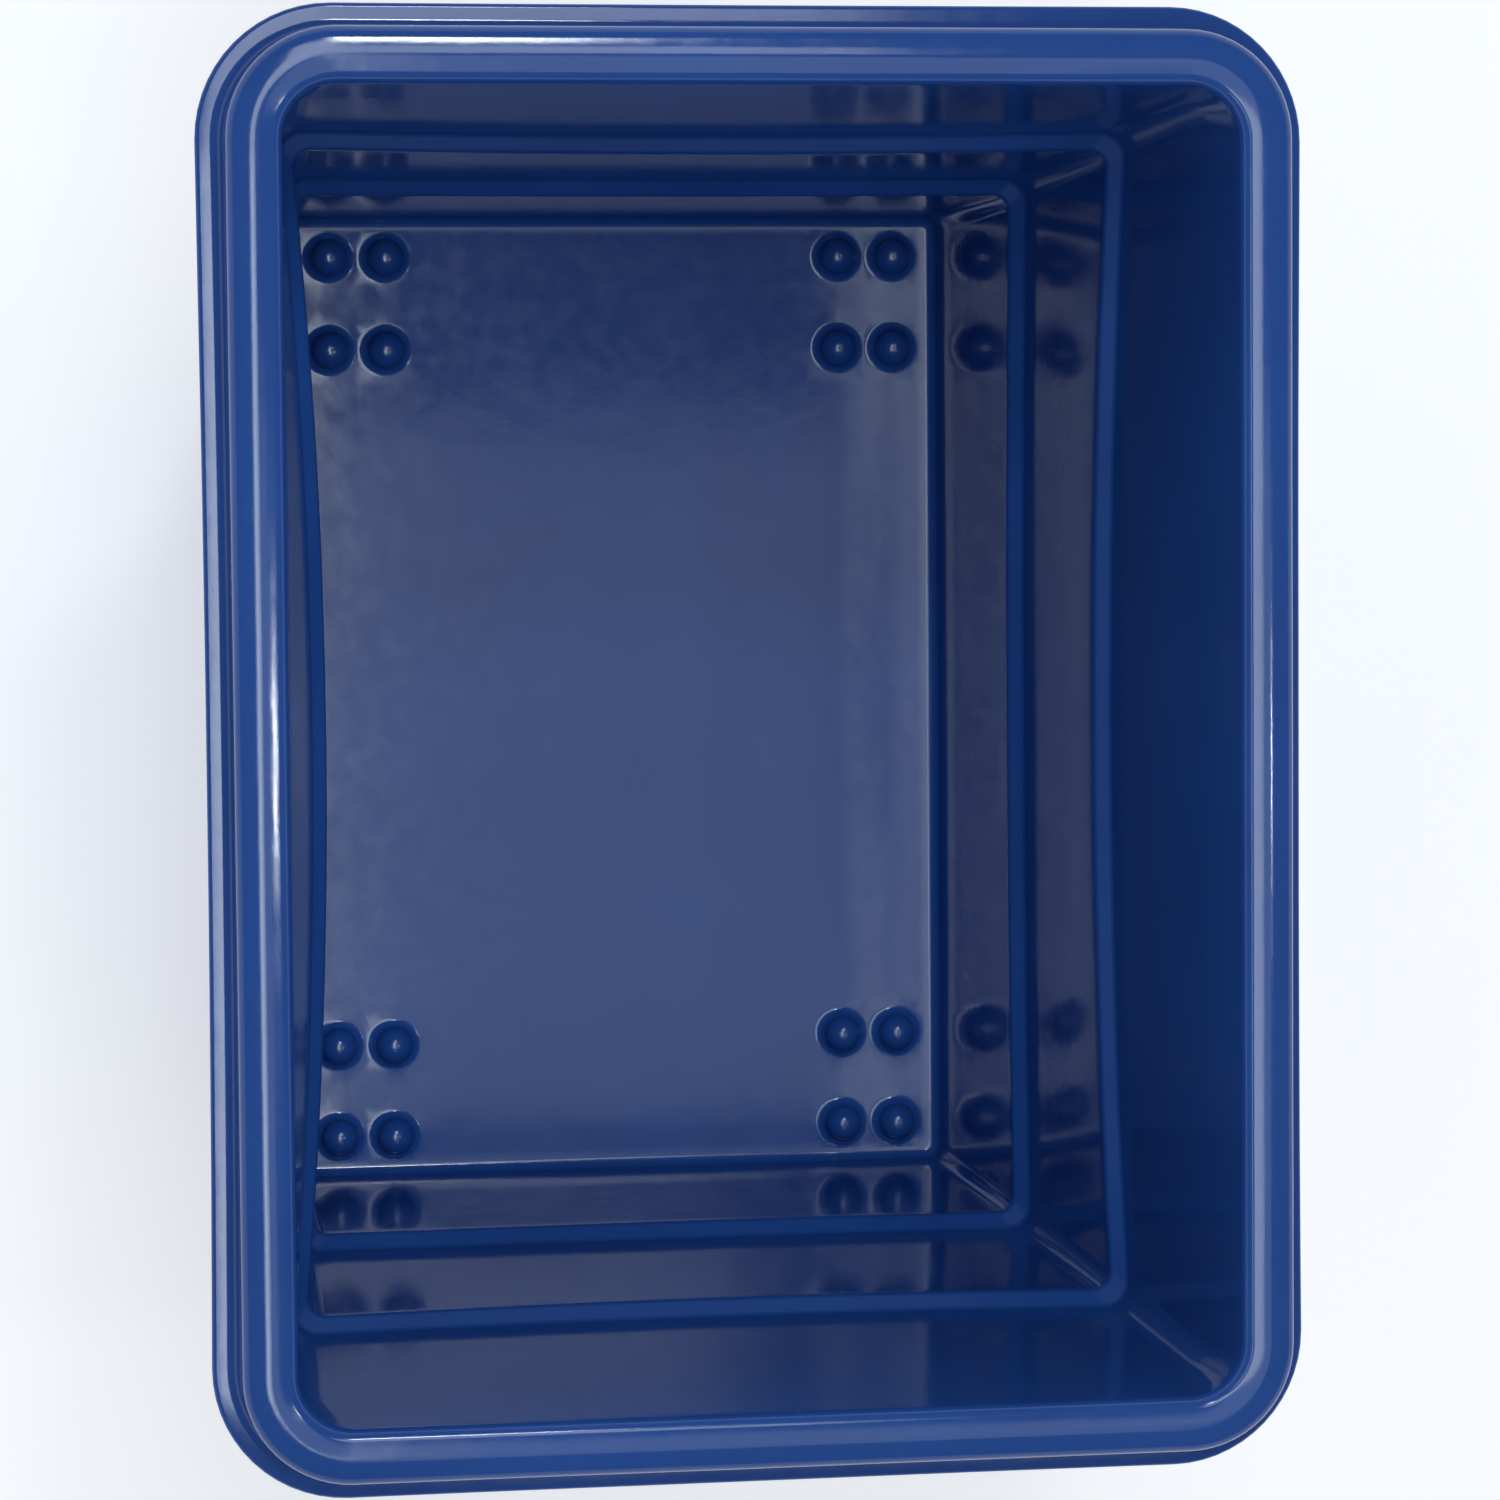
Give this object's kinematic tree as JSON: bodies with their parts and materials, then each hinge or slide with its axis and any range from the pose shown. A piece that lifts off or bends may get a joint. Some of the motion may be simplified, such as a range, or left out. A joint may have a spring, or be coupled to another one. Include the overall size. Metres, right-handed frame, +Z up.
{
  "type": "rolling bulk tub",
  "caption": "Deep open-top moulded plastic tub with a rolled rim and ledged walls, rolling on swivel plate casters.",
  "frame": {"origin": "on the ground, under the middle of the tub, where the four tyres stand", "axes": "+Z up, +Y along the tub's length, +X across it; the casters trail towards -Y"},
  "size_m": [0.7356, 0.979, 0.9146],
  "materials": {
    "tub_blue": "glossy moulded polyethylene",
    "insert_brass": "machined",
    "fastener_zinc": "zinc plated",
    "washer_steel": "plain spring steel",
    "caster_zinc": "zinc plated pressing",
    "ball_steel": "polished",
    "sleeve_steel": "turned",
    "bushing_nylon": "natural nylon",
    "hub_black": "moulded polypropylene",
    "tyre_grey": "grey tread"
  },
  "bodies": {
    "tub": {"tub_shell": "tub_blue", "threaded_inserts": "insert_brass", "caster_bolts": "fastener_zinc", "lock_washers": "washer_steel", "kingpins": "fastener_zinc", "kingpin_nuts": "fastener_zinc", "caster_plate_fl": "caster_zinc", "lower_race_fl": "caster_zinc", "caster_plate_fr": "caster_zinc", "lower_race_fr": "caster_zinc", "caster_plate_rl": "caster_zinc", "lower_race_rl": "caster_zinc", "caster_plate_rr": "caster_zinc", "lower_race_rr": "caster_zinc"},
    "fork_fl": {"fork_fl": "caster_zinc", "upper_balls_fl": "ball_steel", "lower_balls_fl": "ball_steel", "axle_bolt_fl": "fastener_zinc", "axle_nut_fl": "fastener_zinc", "axle_sleeve_fl": "sleeve_steel"},
    "wheel_fl": {"wheel_hub_fl": "hub_black", "hub_bushing_fl": "bushing_nylon", "tyre_fl": "tyre_grey"},
    "fork_fr": {"fork_fr": "caster_zinc", "upper_balls_fr": "ball_steel", "lower_balls_fr": "ball_steel", "axle_bolt_fr": "fastener_zinc", "axle_nut_fr": "fastener_zinc", "axle_sleeve_fr": "sleeve_steel"},
    "wheel_fr": {"wheel_hub_fr": "hub_black", "hub_bushing_fr": "bushing_nylon", "tyre_fr": "tyre_grey"},
    "fork_rl": {"fork_rl": "caster_zinc", "upper_balls_rl": "ball_steel", "lower_balls_rl": "ball_steel", "axle_bolt_rl": "fastener_zinc", "axle_nut_rl": "fastener_zinc", "axle_sleeve_rl": "sleeve_steel"},
    "wheel_rl": {"wheel_hub_rl": "hub_black", "hub_bushing_rl": "bushing_nylon", "tyre_rl": "tyre_grey"},
    "fork_rr": {"fork_rr": "caster_zinc", "upper_balls_rr": "ball_steel", "lower_balls_rr": "ball_steel", "axle_bolt_rr": "fastener_zinc", "axle_nut_rr": "fastener_zinc", "axle_sleeve_rr": "sleeve_steel"},
    "wheel_rr": {"wheel_hub_rr": "hub_black", "hub_bushing_rr": "bushing_nylon", "tyre_rr": "tyre_grey"}
  },
  "joints": [
    {"name": "swivel_fl", "type": "hinge", "parent": "tub", "child": "fork_fl", "pos_m": [-0.2037, 0.3129, 0.1141], "axis": [0, 0, 1], "continuous": true},
    {"name": "roll_fl", "type": "hinge", "parent": "fork_fl", "child": "wheel_fl", "pos_m": [-0.2037, 0.2799, 0.0508], "axis": [1, 0, 0], "continuous": true},
    {"name": "swivel_fr", "type": "hinge", "parent": "tub", "child": "fork_fr", "pos_m": [0.2037, 0.3129, 0.1141], "axis": [0, 0, 1], "continuous": true},
    {"name": "roll_fr", "type": "hinge", "parent": "fork_fr", "child": "wheel_fr", "pos_m": [0.2037, 0.2799, 0.0508], "axis": [1, 0, 0], "continuous": true},
    {"name": "swivel_rl", "type": "hinge", "parent": "tub", "child": "fork_rl", "pos_m": [-0.2037, -0.3129, 0.1141], "axis": [0, 0, 1], "continuous": true},
    {"name": "roll_rl", "type": "hinge", "parent": "fork_rl", "child": "wheel_rl", "pos_m": [-0.2037, -0.3459, 0.0508], "axis": [1, 0, 0], "continuous": true},
    {"name": "swivel_rr", "type": "hinge", "parent": "tub", "child": "fork_rr", "pos_m": [0.2037, -0.3129, 0.1141], "axis": [0, 0, 1], "continuous": true},
    {"name": "roll_rr", "type": "hinge", "parent": "fork_rr", "child": "wheel_rr", "pos_m": [0.2037, -0.3459, 0.0508], "axis": [1, 0, 0], "continuous": true}
  ]
}
